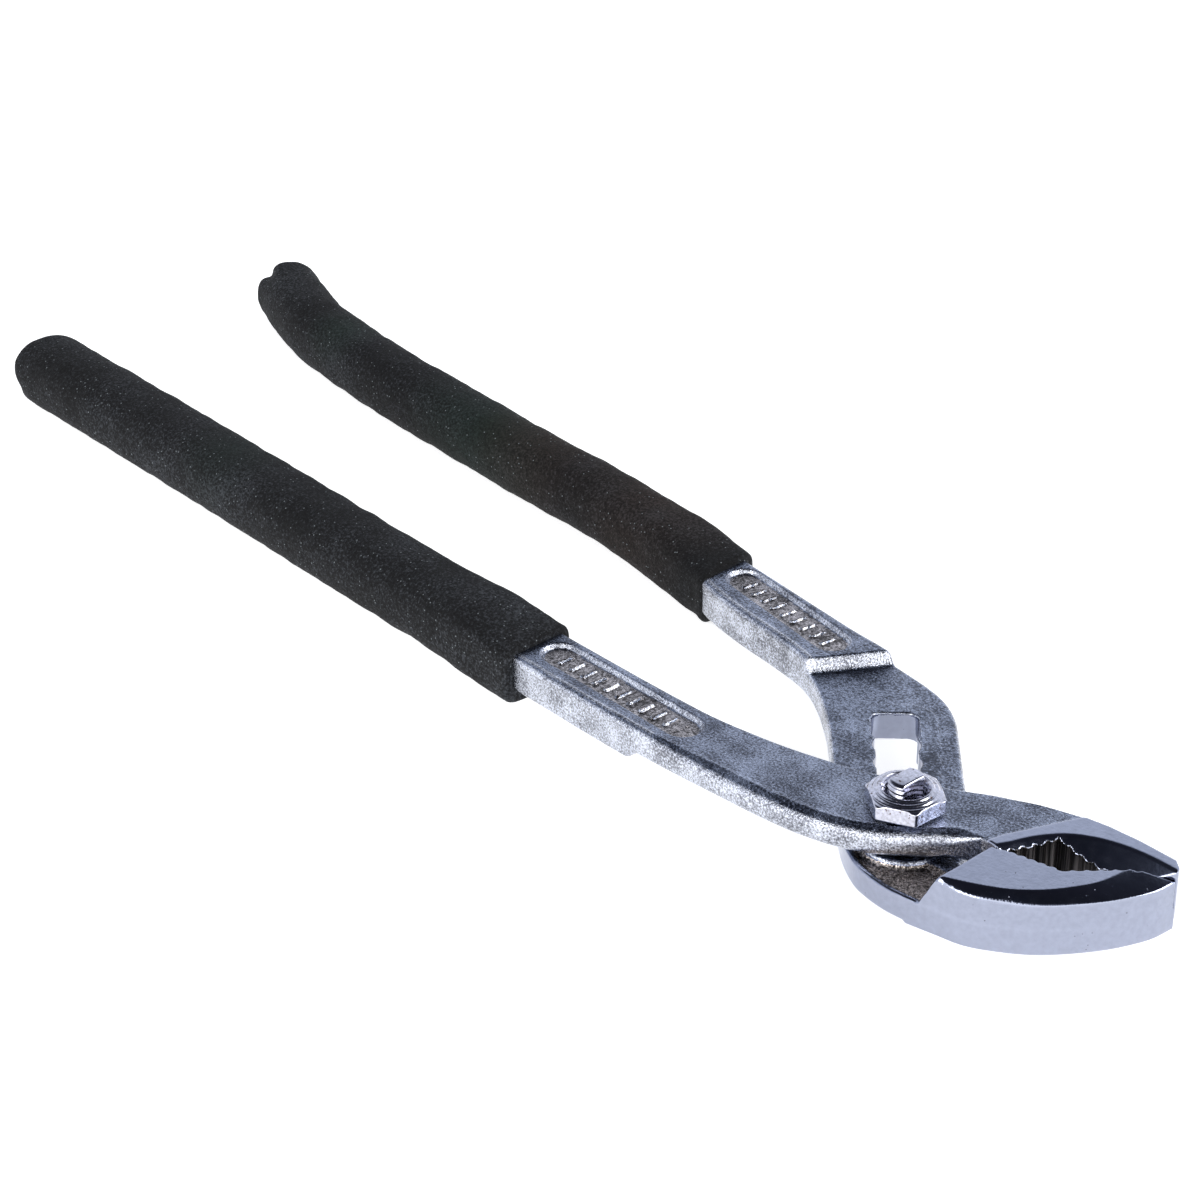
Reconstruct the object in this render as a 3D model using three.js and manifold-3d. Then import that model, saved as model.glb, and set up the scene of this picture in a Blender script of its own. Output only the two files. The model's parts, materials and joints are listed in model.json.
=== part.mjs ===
// Slip-joint water-pump pliers, about 250 mm long, closed on the first of seven slot positions.
//
// Frame, in millimetres: the origin is on the pivot axis, at the plane the tool rests on.
// +X runs from the handles to the nose of the jaws, +Y towards the slotted lever's handle and
// +Z up, out of the nut. "Lever A" is the upper lever, clamped by the nut. "Lever B" is the lower
// lever, with the slot. Each lever is a flat plate at the pivot and thickens into a jaw at one
// end and a handle at the other, so both jaws are as thick as the two plates together.

import * as THREE from 'three';
import { mergeVertices } from 'three/addons/utils/BufferGeometryUtils.js';
import { ConvexGeometry } from 'three/addons/geometries/ConvexGeometry.js';
import Module from 'manifold-3d';

// ---------- driving dimensions ----------

const GAP = 0.3;                       // clearance left between neighbouring pieces
const PLATE = 4.7;                     // thickness of each lever at the pivot
const HANDLE = 6.4;                    // thickness of each lever's handle section
const HEAD_H = 2.4;                    // bolt head, under lever B
const HEAD_R = 6.2;
const BOLT_R = 2.8;                    // bolt shank and thread
const BOLT_FLATS = 3.0;                // across the bolt's two flats, which key it to lever A
const BOLT_PROUD = 5.1;                // bolt end above lever A
const NUT_ACROSS = 10.4;               // across the nut's flats
const NUT_H = 3.4;
const NUT_TURN = -33.5;                // degrees, where one corner of the nut points

const SLOT_ANGLE = 134.5;              // degrees from +X, the slot's direction
const SLOT_STEPS = 6;                  // steps between the seven positions
const SLOT_PITCH = 4.88;
const SLOT_LOBE_R = 3.55;
const SLOT_NECK_HALF = 3.15;

const GRIP_A = { width: 14.0, height: 12.2 };
const GRIP_B = { width: 11.9, height: 11.8 };
const GRIP_END = 3.5;                  // length of a grip's rounded end
const TANG_W = 8.0;                    // lever inside the grip
const TANG_T = 5.4;
const TANG_ROOT = 3;                   // the tang starts this far inside the bare handle

const PANEL_DEPTH = 0.8;               // recess in the top of each handle
const PANEL_R = 3.1;
const TOOTH = 0.45;                    // height of the jaw teeth
const CHAMFER = 1.4;                   // bevel along the top and bottom of the jaws

// ---------- levels ----------

const B_BOTTOM = HEAD_H + GAP;         // underside of lever B and of both jaws
const B_TOP = B_BOTTOM + PLATE;
const A_BOTTOM = B_TOP + GAP;
const TOP = A_BOTTOM + PLATE;          // top of lever A and of both jaws
const A_HANDLE_BOTTOM = TOP - HANDLE;
const B_HANDLE_TOP = B_BOTTOM + HANDLE;
const BOLT_TOP = TOP + BOLT_PROUD;
const GRIP_A_LOW = GRIP_A.height / 2;  // centre height of a grip that touches the ground
const GRIP_B_LOW = GRIP_B.height / 2;
const GRIP_A_Z = TOP - HANDLE / 2;     // centre height of grip A at its collar
const FAR = 60;                        // longer than any cut needs to be
const SEGMENTS = 40;                   // facets of a full circle

// ---------- solids ----------

const wasm = await Module();
wasm.setup();

function solid(geometry) {
  const bare = geometry.index ? geometry.toNonIndexed() : geometry.clone();
  for (const name of Object.keys(bare.attributes)) {
    if (name !== 'position') bare.deleteAttribute(name);
  }
  const merged = mergeVertices(bare, 1e-4);
  return new wasm.Manifold(new wasm.Mesh({
    numProp: 3,
    vertProperties: new Float32Array(merged.attributes.position.array),
    triVerts: new Uint32Array(merged.index.array),
  }));
}

function join(...pieces) {
  return pieces.reduce((all, piece) => all.add(piece));
}

function cut(body, ...tools) {
  return tools.reduce((rest, tool) => rest.subtract(tool), body);
}

const vec = (points) => points.map(([x, y]) => new THREE.Vector2(x, y));

// A smooth edge through a few points.
function curve(points, count = 4 * points.length) {
  return new THREE.SplineCurve(vec(points)).getPoints(count).map((p) => [p.x, p.y]);
}

// An arc about the pivot, angles in degrees.
function arc(radius, from, to, count = 16) {
  return Array.from({ length: count + 1 }, (_, i) => {
    const angle = THREE.MathUtils.degToRad(from + (to - from) * i / count);
    return [radius * Math.cos(angle), radius * Math.sin(angle)];
  });
}

// Teeth along a straight line, pointing to its left.
function teeth([x0, y0], [x1, y1], count, height) {
  const length = Math.hypot(x1 - x0, y1 - y0);
  const [nx, ny] = [-(y1 - y0) / length, (x1 - x0) / length];
  return Array.from({ length: 2 * count + 1 }, (_, i) => {
    const t = i / (2 * count);
    const h = i % 2 ? height : 0;
    return [x0 + (x1 - x0) * t + nx * h, y0 + (y1 - y0) * t + ny * h];
  });
}

function prism(points, low, high) {
  const shape = new THREE.Shape(vec(points));
  const geometry = new THREE.ExtrudeGeometry(shape, { depth: high - low, bevelEnabled: false });
  return solid(geometry.translate(0, 0, low));
}

// The convex solid around several flat outlines, each at its own height.
function wrap(...levels) {
  const points = levels.flatMap(([outline, z]) => outline.map(([x, y]) => new THREE.Vector3(x, y, z)));
  return solid(new ConvexGeometry(points));
}

// A closed skin through rings of points, with a flat cap at each end.
function loft(rings) {
  const sides = rings[0].length;
  const centres = [rings[0], rings[rings.length - 1]].map((ring) => (
    ring.reduce((sum, p) => sum.add(p), new THREE.Vector3()).divideScalar(sides)
  ));
  const faces = [];
  for (let k = 0; k < sides; k++) {
    const next = (k + 1) % sides;
    for (let i = 1; i < rings.length; i++) {
      const [a, b, c, d] = [rings[i - 1][k], rings[i - 1][next], rings[i][next], rings[i][k]];
      faces.push(a, b, c, a, c, d);
    }
    const last = rings[rings.length - 1];
    faces.push(centres[0], rings[0][next], rings[0][k], centres[1], last[k], last[next]);
  }
  return solid(new THREE.BufferGeometry().setFromPoints(faces));
}

function cylinder(radius, low, high, sides = SEGMENTS) {
  const geometry = new THREE.CylinderGeometry(radius, radius, high - low, sides);
  return solid(geometry.rotateX(Math.PI / 2).translate(0, 0, (low + high) / 2));
}

function box(x, y, low, high) {
  return solid(new THREE.BoxGeometry(x, y, high - low).translate(0, 0, (low + high) / 2));
}

// A round-ended recess from one point to another.
function stadium([x0, y0], [x1, y1], radius, low, high) {
  const along = Math.atan2(y1 - y0, x1 - x0);
  const shape = new THREE.Shape();
  shape.absarc(x1, y1, radius, along - Math.PI / 2, along + Math.PI / 2);
  shape.absarc(x0, y0, radius, along + Math.PI / 2, along + 3 * Math.PI / 2);
  const depth = high - low;
  const geometry = new THREE.ExtrudeGeometry(shape, { depth, bevelEnabled: false, curveSegments: 8 });
  return solid(geometry.translate(0, 0, low));
}

const turnZ = (piece, degrees) => piece.rotate([0, 0, degrees]);

// ---------- pivot bolt and nut ----------

// Two flats, parallel to +Y while the jaws are closed. They line up with the slot once the
// handles are opened by SLOT_ANGLE - 90 degrees, and the bolt can then step along it.
function doubleD(radius, flats, low, high) {
  return cylinder(radius, low, high).intersect(box(flats, FAR, low, high));
}

function makeBolt() {
  const edge = 0.6;
  const head = [[0, 0], [HEAD_R - edge, 0], [HEAD_R, edge], [HEAD_R, HEAD_H - edge / 2],
    [HEAD_R - edge / 2, HEAD_H], [0, HEAD_H]];
  const lathed = solid(new THREE.LatheGeometry(vec(head), SEGMENTS).rotateX(Math.PI / 2));
  const shank = doubleD(BOLT_R, BOLT_FLATS, HEAD_H / 2, BOLT_TOP - edge);
  const end = doubleD(BOLT_R - edge / 2, BOLT_FLATS - edge, HEAD_H / 2, BOLT_TOP);
  return join(lathed, shank, end);
}

function makeNut() {
  const low = TOP + GAP;
  const corner = NUT_ACROSS / 2 / Math.cos(Math.PI / 6);
  const chamfer = 1.1;
  const hex = turnZ(cylinder(corner, low, low + NUT_H, 6), NUT_TURN + 90);
  const round = [[0, low], [corner + 1, low], [corner + 1, low + NUT_H - chamfer],
    [NUT_ACROSS / 2 - chamfer, low + NUT_H], [0, low + NUT_H]];
  const cone = solid(new THREE.LatheGeometry(vec(round), SEGMENTS).rotateX(Math.PI / 2));
  return cut(hex.intersect(cone), cylinder(BOLT_R + GAP, low - 1, low + NUT_H + 1));
}

// ---------- grips and the tangs inside them ----------

// Centre lines from the collar to the far end. Grip A sinks until its end meets the ground, so
// the tool rests on the bolt head, grip B and the end of grip A.
const LINE_A = [[-68.5, -7.6, GRIP_A_Z], [-101.5, -6.0, 8.4], [-154.7, -2.8, 7.3],
  [-197.6, -0.6, 6.4], [-213.6, 0.2, GRIP_A_LOW]];
const LINE_B = [[-69.5, 34.4], [-75.7, 35.6], [-101.3, 38.8], [-121.9, 39.7], [-142.4, 41.1],
  [-162.9, 42.6], [-183.5, 45.3], [-193.8, 47.8], [-210.3, 54.3]].map(([x, y]) => [x, y, GRIP_B_LOW]);

const spatial = (line) => new THREE.CatmullRomCurve3(line.map((p) => new THREE.Vector3(...p)));
const lineLength = (line) => spatial(line).getLength();

// Sweeps an upright oval or rectangle along a centre line, from one fraction of it to another.
function sweep(line, width, height, from, to, steps, sides) {
  const path = spatial(line);
  const rings = Array.from({ length: steps + 1 }, (_, i) => {
    const t = from + (to - from) * i / steps;
    const centre = path.getPointAt(t);
    const side = new THREE.Vector3(0, 0, 1).cross(path.getTangentAt(t)).normalize();
    return Array.from({ length: sides }, (_, k) => {
      const angle = 2 * Math.PI * (k + 0.5) / sides;
      const corner = sides === 4 ? Math.SQRT2 : 1;
      return centre.clone()
        .addScaledVector(side, corner * Math.cos(angle) * width / 2)
        .add(new THREE.Vector3(0, 0, corner * Math.sin(angle) * height / 2));
    });
  });
  return loft(rings);
}

function roundedEnd(line, { width, height }) {
  const [before, last] = line.slice(-2).map((p) => new THREE.Vector3(...p));
  const direction = last.clone().sub(before);
  const centre = last.clone().addScaledVector(direction.clone().setZ(0).normalize(), -GRIP_END);
  const ball = new THREE.SphereGeometry(1, 20, 12).scale(GRIP_END, width / 2, height / 2);
  ball.rotateZ(Math.atan2(direction.y, direction.x));
  return solid(ball.translate(centre.x, centre.y, centre.z));
}

// The tang, or with clearance round it the hollow that takes it. Both run on past the collar.
function makeTang(line, extra = 0) {
  const [first, second] = line.map((p) => new THREE.Vector3(...p));
  const root = first.clone().sub(second).setLength(TANG_ROOT).add(first);
  const rooted = [root.toArray(), ...line];
  const stop = 1 - (2 * GRIP_END - extra) / lineLength(rooted);
  return sweep(rooted, TANG_W + 2 * extra, TANG_T + 2 * extra, 0, stop, 12, 4);
}

function makeGrip(line, size) {
  const length = lineLength(line);
  const outer = sweep(line, size.width, size.height, 1.5 * GAP / length, 1 - GRIP_END / length, 16, 20);
  return cut(join(outer, roundedEnd(line, size)), makeTang(line, GAP));
}

// ---------- jaws ----------

const THROAT = [15.6, 1.9];            // the jaws part here, behind the pipe notches
const NOSE = [36.3, 15.2];
const NOTCH_A = [19.4, 10.4];          // corner of the V-shaped notch in each jaw
const NOTCH_B = [24.6, 3.9];
const NOTCH_END = [32.4, 12.7];        // the jaws touch from here to the nose
const PART = GAP / 2;                  // each jaw stands back this far from the parting line

const aboveLine = ([x, y]) => [x - PART * 0.55, y + PART * 0.84];
const belowLine = ([x, y]) => [x + PART * 0.55, y - PART * 0.84];

const JAW_A_OUTER = [[19.2, 16.8], [22.7, 17.4], [27.8, 17.7], [34.2, 17.6], [35.7, 16.4], NOSE];
const JAW_B_OUTER = curve([[14.2, -9.8], [19.2, -8.7], [23.7, -6.1], [27.4, -3.1], [30.6, 0.8],
  [33.6, 5.6], [35.8, 11], NOSE], 16);
const JAW_B_CREST = curve([[14.9, -9.0], [20.6, -6.2], [23.7, -4.1], [26.8, -0.8], [29.2, 3.1],
  [30.5, 6.4], [31.2, 12.0]], 12);

// Space between the jaws, seen from above: a V in each, with teeth on both its sides.
const HOLLOW = [
  ...teeth(NOTCH_B, THROAT, 5, -TOOTH / 2).reverse(),
  ...teeth(NOTCH_B, NOTCH_END, 6, -TOOTH).slice(1),
  ...teeth(NOTCH_END, NOTCH_A, 7, TOOTH).slice(1),
  ...teeth(NOTCH_A, THROAT, 5, TOOTH).slice(1, -1),
];
const HOLLOW_PLAIN = [THROAT, NOTCH_B, NOTCH_END, NOTCH_A];

// Funnel along the top or bottom edge of the hollow, cut into one jaw only.
function hollowChamfer(z, up) {
  const wider = [THROAT, [NOTCH_B[0] + CHAMFER, NOTCH_B[1] - CHAMFER], NOSE,
    [24.5, 14.2], [NOTCH_A[0] - 0.6, NOTCH_A[1] + 1.1]];
  return wrap([HOLLOW_PLAIN, z - up * CHAMFER], [wider, z + up * 0.01]);
}

// ---------- lever A ----------

// Both edges start at the collar, where the grip begins. The handle section is thicker behind
// their third points.
const A_INNER = [[-68.25, -2.4], [-55, -2.5], [-42, -2.5], [-34.7, -2.2], [-26.7, -1.1], [-21.6, -0.1],
  [-15.2, 1.6], [-9.7, 3.5], [-3.5, 6.5], [2.2, 9.5], [6, 11.8], [10.1, 13.7], [14.3, 15.1]];
const A_NEAR = [[-68.75, -13.0], [-55, -13.3], [-42, -13.5], [-30, -13.5], [-20, -13.1],
  [-12.7, -12.4], [-7.5, -11.4], [-2.4, -9.7], [1.5, -7.4], [5.3, -4.2], [9, -0.5]];
const A_THROAT = [12.4, 2.3];
const A_JAW_BACK_R = 12.6;             // the thick part of jaw A starts outside this radius, and in
const A_JAW_BACK = [12.1, 14.4];       // front of this point, so that it clears lever B when open

function leverAPlate() {
  const outline = [...curve([...A_NEAR, A_THROAT]), aboveLine(THROAT), JAW_A_OUTER[0],
    ...curve(A_INNER).reverse()];
  return prism(outline, A_BOTTOM, TOP);
}

function leverAJaw() {
  const outline = [aboveLine(THROAT), aboveLine(NOSE), ...JAW_A_OUTER.slice().reverse().slice(1),
    A_JAW_BACK, ...arc(A_JAW_BACK_R, 29, 14, 6), A_THROAT];
  const block = prism(outline, B_BOTTOM, TOP);
  const crest = [THROAT, [30.6, 14.2], [33.5, 17.0], [22.7, 16.6], [19.6, 16.0], [12, 16], [9, 2]];
  const shoulder = [THROAT, NOSE, ...JAW_A_OUTER.slice().reverse().slice(1), [9, 18], [6, 2]];
  const bevelled = wrap([crest, B_BOTTOM], [shoulder, B_BOTTOM + CHAMFER], [shoulder, FAR]);
  return block.intersect(bevelled);
}

function makeLeverA() {
  const handle = [...A_NEAR.slice(0, 3), ...A_INNER.slice(0, 3).reverse()];
  const body = join(
    leverAPlate(),
    prism(handle, A_HANDLE_BOTTOM, TOP),
    leverAJaw(),
    makeTang(LINE_A),
  );
  return cut(
    body,
    prism(HOLLOW, 0, FAR),
    hollowChamfer(TOP, 1),
    doubleD(BOLT_R + GAP, BOLT_FLATS + 2 * GAP, 0, FAR),
    stadium([-64.2, -6.9], [-36.8, -7.6], PANEL_R, TOP - PANEL_DEPTH, FAR),
  );
}

// ---------- lever B ----------

const B_FAR = [[-68.8, 38.6], [-60, 37.5], [-50.5, 36.3], [-42, 35.3], [-36.3, 34.9], [-30, 34.2],
  [-24.7, 33.4], [-20.5, 32.2], [-16.5, 29.9], [-12.5, 26.2], [-4.1, 17.9], [3.4, 10.6]];
const B_NEAR = [[-70.8, 28.6], [-64, 26.9], [-57, 25.6], [-50.6, 24.8], [-44.1, 23.7], [-40.4, 22.5],
  [-37.4, 21.0], [-34.2, 18.9], [-30.6, 16.2], [-26, 12.3], [-16, 2.7], [-9.6, -3.4]];
const B_HEEL = [[-5.4, -6.8], [-1.2, -9.3], [1.9, -10.3], [6, -10.8], [10.1, -10.5], [14.2, -9.8]];
const B_CREST_NEAR = [[-70.3, 29.9], [-55.9, 27.3], [-46.5, 25.2], [-41, 24.0]];
const B_STEP = [[-38.6, 25.0], [-32.5, 34.8]];   // foot of the slope up to the handle's top
const B_STEP_RUN = 2.4;                          // plan length of that slope
const B_THROAT_R = 9.6;                          // lever B is round about the pivot at the throat

function leverBPlate() {
  const outline = [...curve(B_NEAR, 30), ...curve(B_HEEL, 12), ...JAW_B_OUTER.slice(1, -1),
    belowLine(NOSE), belowLine(THROAT), ...arc(B_THROAT_R, 8, 70, 10), ...curve(B_FAR, 34).reverse()];
  return prism(outline, B_BOTTOM, B_TOP);
}

// The upper part of the handle, with its sloping front.
function leverBHandle() {
  const back = [...B_FAR.slice(0, 5).reverse(), ...B_CREST_NEAR];
  const foot = [...back, ...B_STEP];
  const crest = [...back, ...B_STEP.map(([x, y]) => [x - B_STEP_RUN, y + 0.5])];
  const block = wrap([foot, B_TOP - 1], [foot, B_TOP], [crest, B_HANDLE_TOP]);
  return block.intersect(prism([...B_STEP, ...B_FAR.slice(0, 5).reverse(), ...B_CREST_NEAR], 0, FAR));
}

function leverBJaw() {
  const back = [[14.6, 1.0], [14.6, -9.4]];
  const low = [...JAW_B_OUTER, [14.6, 1.6]];
  const crest = [...JAW_B_CREST, ...back, THROAT, NOTCH_END];
  const block = wrap([low, 0], [low, TOP - CHAMFER], [crest, TOP]);
  const below = [belowLine(THROAT), [14.6, 1.6], [14.6, -12], [40, -12], [40, 17.4], belowLine(NOSE)];
  return block.intersect(prism(below, B_BOTTOM, FAR));
}

function makeSlot() {
  const lobes = Array.from({ length: SLOT_STEPS + 1 }, (_, i) => (
    cylinder(SLOT_LOBE_R, 0, FAR).translate([i * SLOT_PITCH, 0, 0])
  ));
  const neck = box(SLOT_STEPS * SLOT_PITCH, 2 * SLOT_NECK_HALF, 0, FAR)
    .translate([SLOT_STEPS * SLOT_PITCH / 2, 0, 0]);
  return turnZ(join(neck, ...lobes), SLOT_ANGLE);
}

function makeLeverB() {
  const body = join(leverBPlate(), leverBHandle(), leverBJaw(), makeTang(LINE_B));
  return cut(
    body,
    prism(HOLLOW, 0, FAR),
    makeSlot(),
    stadium([-65.1, 34.0], [-42.3, 30.0], PANEL_R, B_HANDLE_TOP - PANEL_DEPTH, FAR),
  );
}

// ---------- assembly ----------

const CHROME = { color: 0xaeb4c4, roughness: 0.3, metalness: 1 };
const STEEL = { color: 0x9a9aa2, roughness: 0.35, metalness: 1 };
const FOAM = { color: 0x16171a, roughness: 0.9, metalness: 0 };

function node(name, body, look) {
  const { vertProperties, triVerts } = body.getMesh();
  const geometry = new THREE.BufferGeometry();
  geometry.setAttribute('position', new THREE.BufferAttribute(vertProperties, 3));
  geometry.setIndex(new THREE.BufferAttribute(triVerts, 1));
  const mesh = new THREE.Mesh(geometry, new THREE.MeshStandardMaterial(look));
  mesh.name = name;
  return mesh;
}

const pliers = new THREE.Group();
pliers.add(
  node('lever_a', makeLeverA(), CHROME),
  node('lever_b', makeLeverB(), CHROME),
  node('pivot_bolt', makeBolt(), STEEL),
  node('pivot_nut', makeNut(), STEEL),
  node('grip_a', makeGrip(LINE_A, GRIP_A), FOAM),
  node('grip_b', makeGrip(LINE_B, GRIP_B), FOAM),
);

export default pliers;
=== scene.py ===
"""Slip-joint water-pump pliers: chrome forgings, a threaded pivot and black rubber foam grips.

Lengths are in millimetres in the part's frame until a mesh is made: X runs to the nose of the jaws,
Y to lever B's handle and Z up. Levers, bolt and nut are skins drawn round distance fields, which are
negative inside the metal, so that every forged edge is round and every step has its fillet. The
grips are lofted sleeves. Each piece stands in for one solid of the frame and rides on its body.
"""

import json
import math

import bpy
import numpy as np
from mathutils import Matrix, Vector, noise

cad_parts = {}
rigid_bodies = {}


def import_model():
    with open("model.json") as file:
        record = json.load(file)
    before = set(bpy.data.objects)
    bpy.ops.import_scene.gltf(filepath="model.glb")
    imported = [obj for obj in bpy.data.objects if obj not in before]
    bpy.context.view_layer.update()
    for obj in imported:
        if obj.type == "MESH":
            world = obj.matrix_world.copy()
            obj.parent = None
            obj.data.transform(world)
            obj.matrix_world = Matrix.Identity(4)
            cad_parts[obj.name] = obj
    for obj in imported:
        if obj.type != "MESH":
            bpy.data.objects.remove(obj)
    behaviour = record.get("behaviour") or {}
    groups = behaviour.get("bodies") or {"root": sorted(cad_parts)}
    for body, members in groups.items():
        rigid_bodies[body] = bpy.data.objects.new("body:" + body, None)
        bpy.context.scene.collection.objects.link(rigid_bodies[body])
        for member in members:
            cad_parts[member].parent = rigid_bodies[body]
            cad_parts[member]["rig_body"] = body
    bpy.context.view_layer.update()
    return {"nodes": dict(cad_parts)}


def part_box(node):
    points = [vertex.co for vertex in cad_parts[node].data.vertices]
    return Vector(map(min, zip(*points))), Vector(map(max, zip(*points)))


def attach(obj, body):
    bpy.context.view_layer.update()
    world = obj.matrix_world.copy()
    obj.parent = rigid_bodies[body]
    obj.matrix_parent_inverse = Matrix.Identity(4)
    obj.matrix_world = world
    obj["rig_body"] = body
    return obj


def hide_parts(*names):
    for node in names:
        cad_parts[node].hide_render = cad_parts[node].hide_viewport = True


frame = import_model()

MM = 0.001

# ---------- levels and sizes ----------

GAP = 0.3                          # clearance between the two plates
B_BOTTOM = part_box("lever_b")[0].z / MM
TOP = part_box("lever_a")[1].z / MM
PLATE = (TOP - B_BOTTOM - GAP) / 2
B_TOP = B_BOTTOM + PLATE
A_BOTTOM = TOP - PLATE
HANDLE_RISE = 1.7                  # handles are this much thicker than the plates
ROUGH_DROP = 0.15                  # forged top face below the ground face of the jaws
NUT_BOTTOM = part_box("pivot_nut")[0].z / MM
NUT_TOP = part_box("pivot_nut")[1].z / MM
BOLT_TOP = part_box("pivot_bolt")[1].z / MM

THROAT = (15.6, 1.9)
NOSE = (36.3, 15.2)
NOTCH_A = (19.4, 10.4)
NOTCH_B = (24.6, 3.9)
NOTCH_END = (32.4, 12.7)
PARTING = 0.15                     # each jaw stands back this far from the parting line
PARTING_NORMAL = (-0.55, 0.84)     # square to that line, towards jaw A
TOOTH = 0.36
JAW_EDGE = 0.3                     # rounding of the ground edges

SLOT_ANGLE = math.radians(134.5)
SLOT_LENGTH = 29.28
SLOT_STEPS = 6
LOBE_R = 3.55
NECK_HALF = 3.15
SLOT_END_CORNER = 1.6
LAND_WIDTH = 2.6                   # raised land round the slot
LAND_HEIGHT = 0.3

# ---------- distance fields ----------


class Grid:
    """Sample points of a distance field, as three axes that broadcast against each other."""

    def __init__(self, *axes):
        self.axes = [np.asarray(axis, np.float32) for axis in axes]
        self.x, self.y, self.z = np.meshgrid(*self.axes, indexing="ij", sparse=True)

    def level(self, height):
        """A full height map from a height that is constant or varies along one axis."""
        return np.zeros((len(self.axes[0]), len(self.axes[1]), 1), np.float32) + height

    def slope(self, height):
        """Stretch of a height map, which turns height above it into distance from it."""
        along_x, along_y = np.gradient(height[..., 0], self.axes[0], self.axes[1])
        return np.sqrt(1 + along_x ** 2 + along_y ** 2)[..., None]

    def above(self, height):
        return (self.z - height) / self.slope(height)

    def below(self, height):
        return (height - self.z) / self.slope(height)


def smooth(low, high, value):
    """0 at low, 1 at high and an even passage between them. low may be above high."""
    t = np.clip((value - low) / (high - low), 0, 1)
    return t * t * (3 - 2 * t)


def mix(a, b, t):
    return a + (b - a) * t


def curve(points, steps=6):
    """A smooth open line through a few points."""
    points = np.array(points, float)
    padded = np.vstack([2 * points[0] - points[1], points, 2 * points[-1] - points[-2]])
    t = np.arange(steps)[:, None] / steps
    spans = []
    for p0, p1, p2, p3 in zip(padded, padded[1:], padded[2:], padded[3:]):
        spans.append(0.5 * (2 * p1 + (p2 - p0) * t + (2 * p0 - 5 * p1 + 4 * p2 - p3) * t ** 2
                            + (3 * p1 - p0 - 3 * p2 + p3) * t ** 3))
    return np.vstack(spans + [points[-1:]])


def arc(radius, start, end, steps=16):
    angles = np.radians(np.linspace(start, end, steps + 1))
    return np.stack([radius * np.cos(angles), radius * np.sin(angles)], 1)


def line_distance(points, x, y):
    """Distance to an open line, without sign."""
    best = np.inf
    for (ax, ay), (bx, by) in zip(points[:-1], points[1:]):
        ex, ey = bx - ax, by - ay
        t = np.clip(((x - ax) * ex + (y - ay) * ey) / max(ex * ex + ey * ey, 1e-9), 0, 1)
        best = np.minimum(best, (x - ax - ex * t) ** 2 + (y - ay - ey * t) ** 2)
    return np.sqrt(best)


def outline_distance(points, x, y):
    """Distance to a closed outline, negative inside."""
    closed = np.vstack([points, points[:1]])
    inside = np.zeros(np.broadcast(x, y).shape, bool)
    for (ax, ay), (bx, by) in zip(closed[:-1], closed[1:]):
        if ay != by:
            inside ^= ((ay > y) != (by > y)) & (x < ax + (bx - ax) * (y - ay) / (by - ay))
    return np.where(inside, -1, 1) * line_distance(closed, x, y)


def rounded(a, b, radius):
    """Both fields at once, with their common edge rounded."""
    a, b = a + radius, b + radius
    return np.minimum(np.maximum(a, b), 0) + np.hypot(np.maximum(a, 0), np.maximum(b, 0)) - radius


def join(a, b, fillet):
    """Either field, with a fillet where they meet."""
    h = np.clip(0.5 + 0.5 * (b - a) / fillet, 0, 1)
    return mix(b, a, h) - fillet * h * (1 - h)


def carve(body, tool, edge):
    """A body without a tool's space, with the new edge softened."""
    return -join(-body, tool, edge)


def slab(grid, side, top, bottom, top_edge, bottom_edge):
    """A body inside an outline, between two height maps."""
    capped = rounded(side, grid.above(top), top_edge)
    return rounded(capped, grid.below(bottom), bottom_edge)


def above_line(point, shift=PARTING):
    """A point of the parting line, moved to jaw A's side of it."""
    return (point[0] + shift * PARTING_NORMAL[0], point[1] + shift * PARTING_NORMAL[1])


def below_line(point):
    return above_line(point, -PARTING)


def across_jaws(points):
    """Mirrors points over the line from throat to nose, where the two jaws meet."""
    points = np.array(points, float)
    along = np.subtract(NOSE, THROAT) / math.dist(NOSE, THROAT)
    offset = points - THROAT
    return THROAT + 2 * (offset @ along)[:, None] * along - offset


def teeth(p, q, count, height, sharpness=4):
    """Worn teeth along a line, pointing to its left."""
    p, q = np.array(p), np.array(q)
    left = np.array([-(q - p)[1], (q - p)[0]]) / math.dist(p, q)
    t = np.linspace(0, 1, count * sharpness + 1)[:, None]
    return p + (q - p) * t + left * height * np.abs(np.sin(np.pi * count * t)) ** 0.8


# ---------- meshes from fields ----------


def add_piece(mesh):
    mesh.update()
    piece = bpy.data.objects.new(mesh.name, mesh)
    bpy.context.scene.collection.objects.link(piece)
    return piece


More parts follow.
